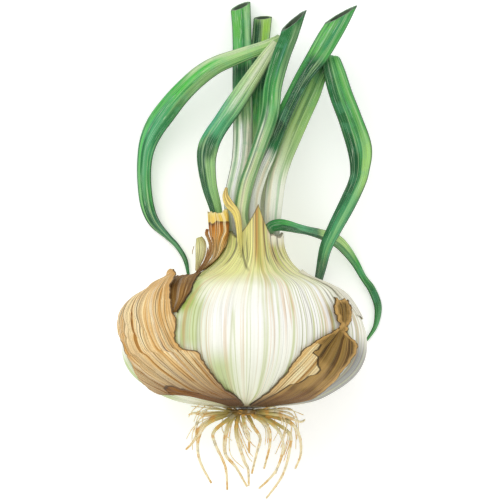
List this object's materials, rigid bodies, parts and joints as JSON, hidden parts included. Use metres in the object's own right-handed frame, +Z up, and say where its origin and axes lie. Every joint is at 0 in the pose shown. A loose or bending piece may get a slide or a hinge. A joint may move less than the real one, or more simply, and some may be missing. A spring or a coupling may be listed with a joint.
{
  "type": "onion",
  "caption": "Picked onion lying on its flank: pale flat bulb with peeling papery skins, hollow green leaves cut short or folded over, and a tuft of roots.",
  "frame": {"origin": "middle of the small flat spot on the bulb's flank that it rests on", "axes": "+Z up from the surface, +Y from the roots to the leaf tips, +X across the bulb"},
  "size_m": [0.0866, 0.1625, 0.0788],
  "materials": {
    "bulb_flesh": "satin",
    "root_fibre": "matte",
    "leaf_green": "satin",
    "dry_sheath": "matte",
    "skin_tan": "satin",
    "skin_brown": "satin",
    "skin_pale": "satin"
  },
  "bodies": {
    "root": {"bulb": "bulb_flesh", "root_tuft": "root_fibre", "leaf_tall": "leaf_green", "leaf_short": "leaf_green", "leaf_front": "leaf_green", "leaf_right_cut": "leaf_green", "leaf_right_folded": "leaf_green", "leaf_left_long": "leaf_green", "leaf_left_kinked": "leaf_green", "leaf_small_right": "leaf_green", "sheath_dry_pocket": "dry_sheath", "sheath_pale_flap": "dry_sheath", "sheath_yellow_curl": "dry_sheath", "skin_left": "skin_tan", "skin_left_inner": "skin_brown", "skin_right": "skin_brown", "skin_shoulder": "skin_pale"}
  },
  "joints": []
}
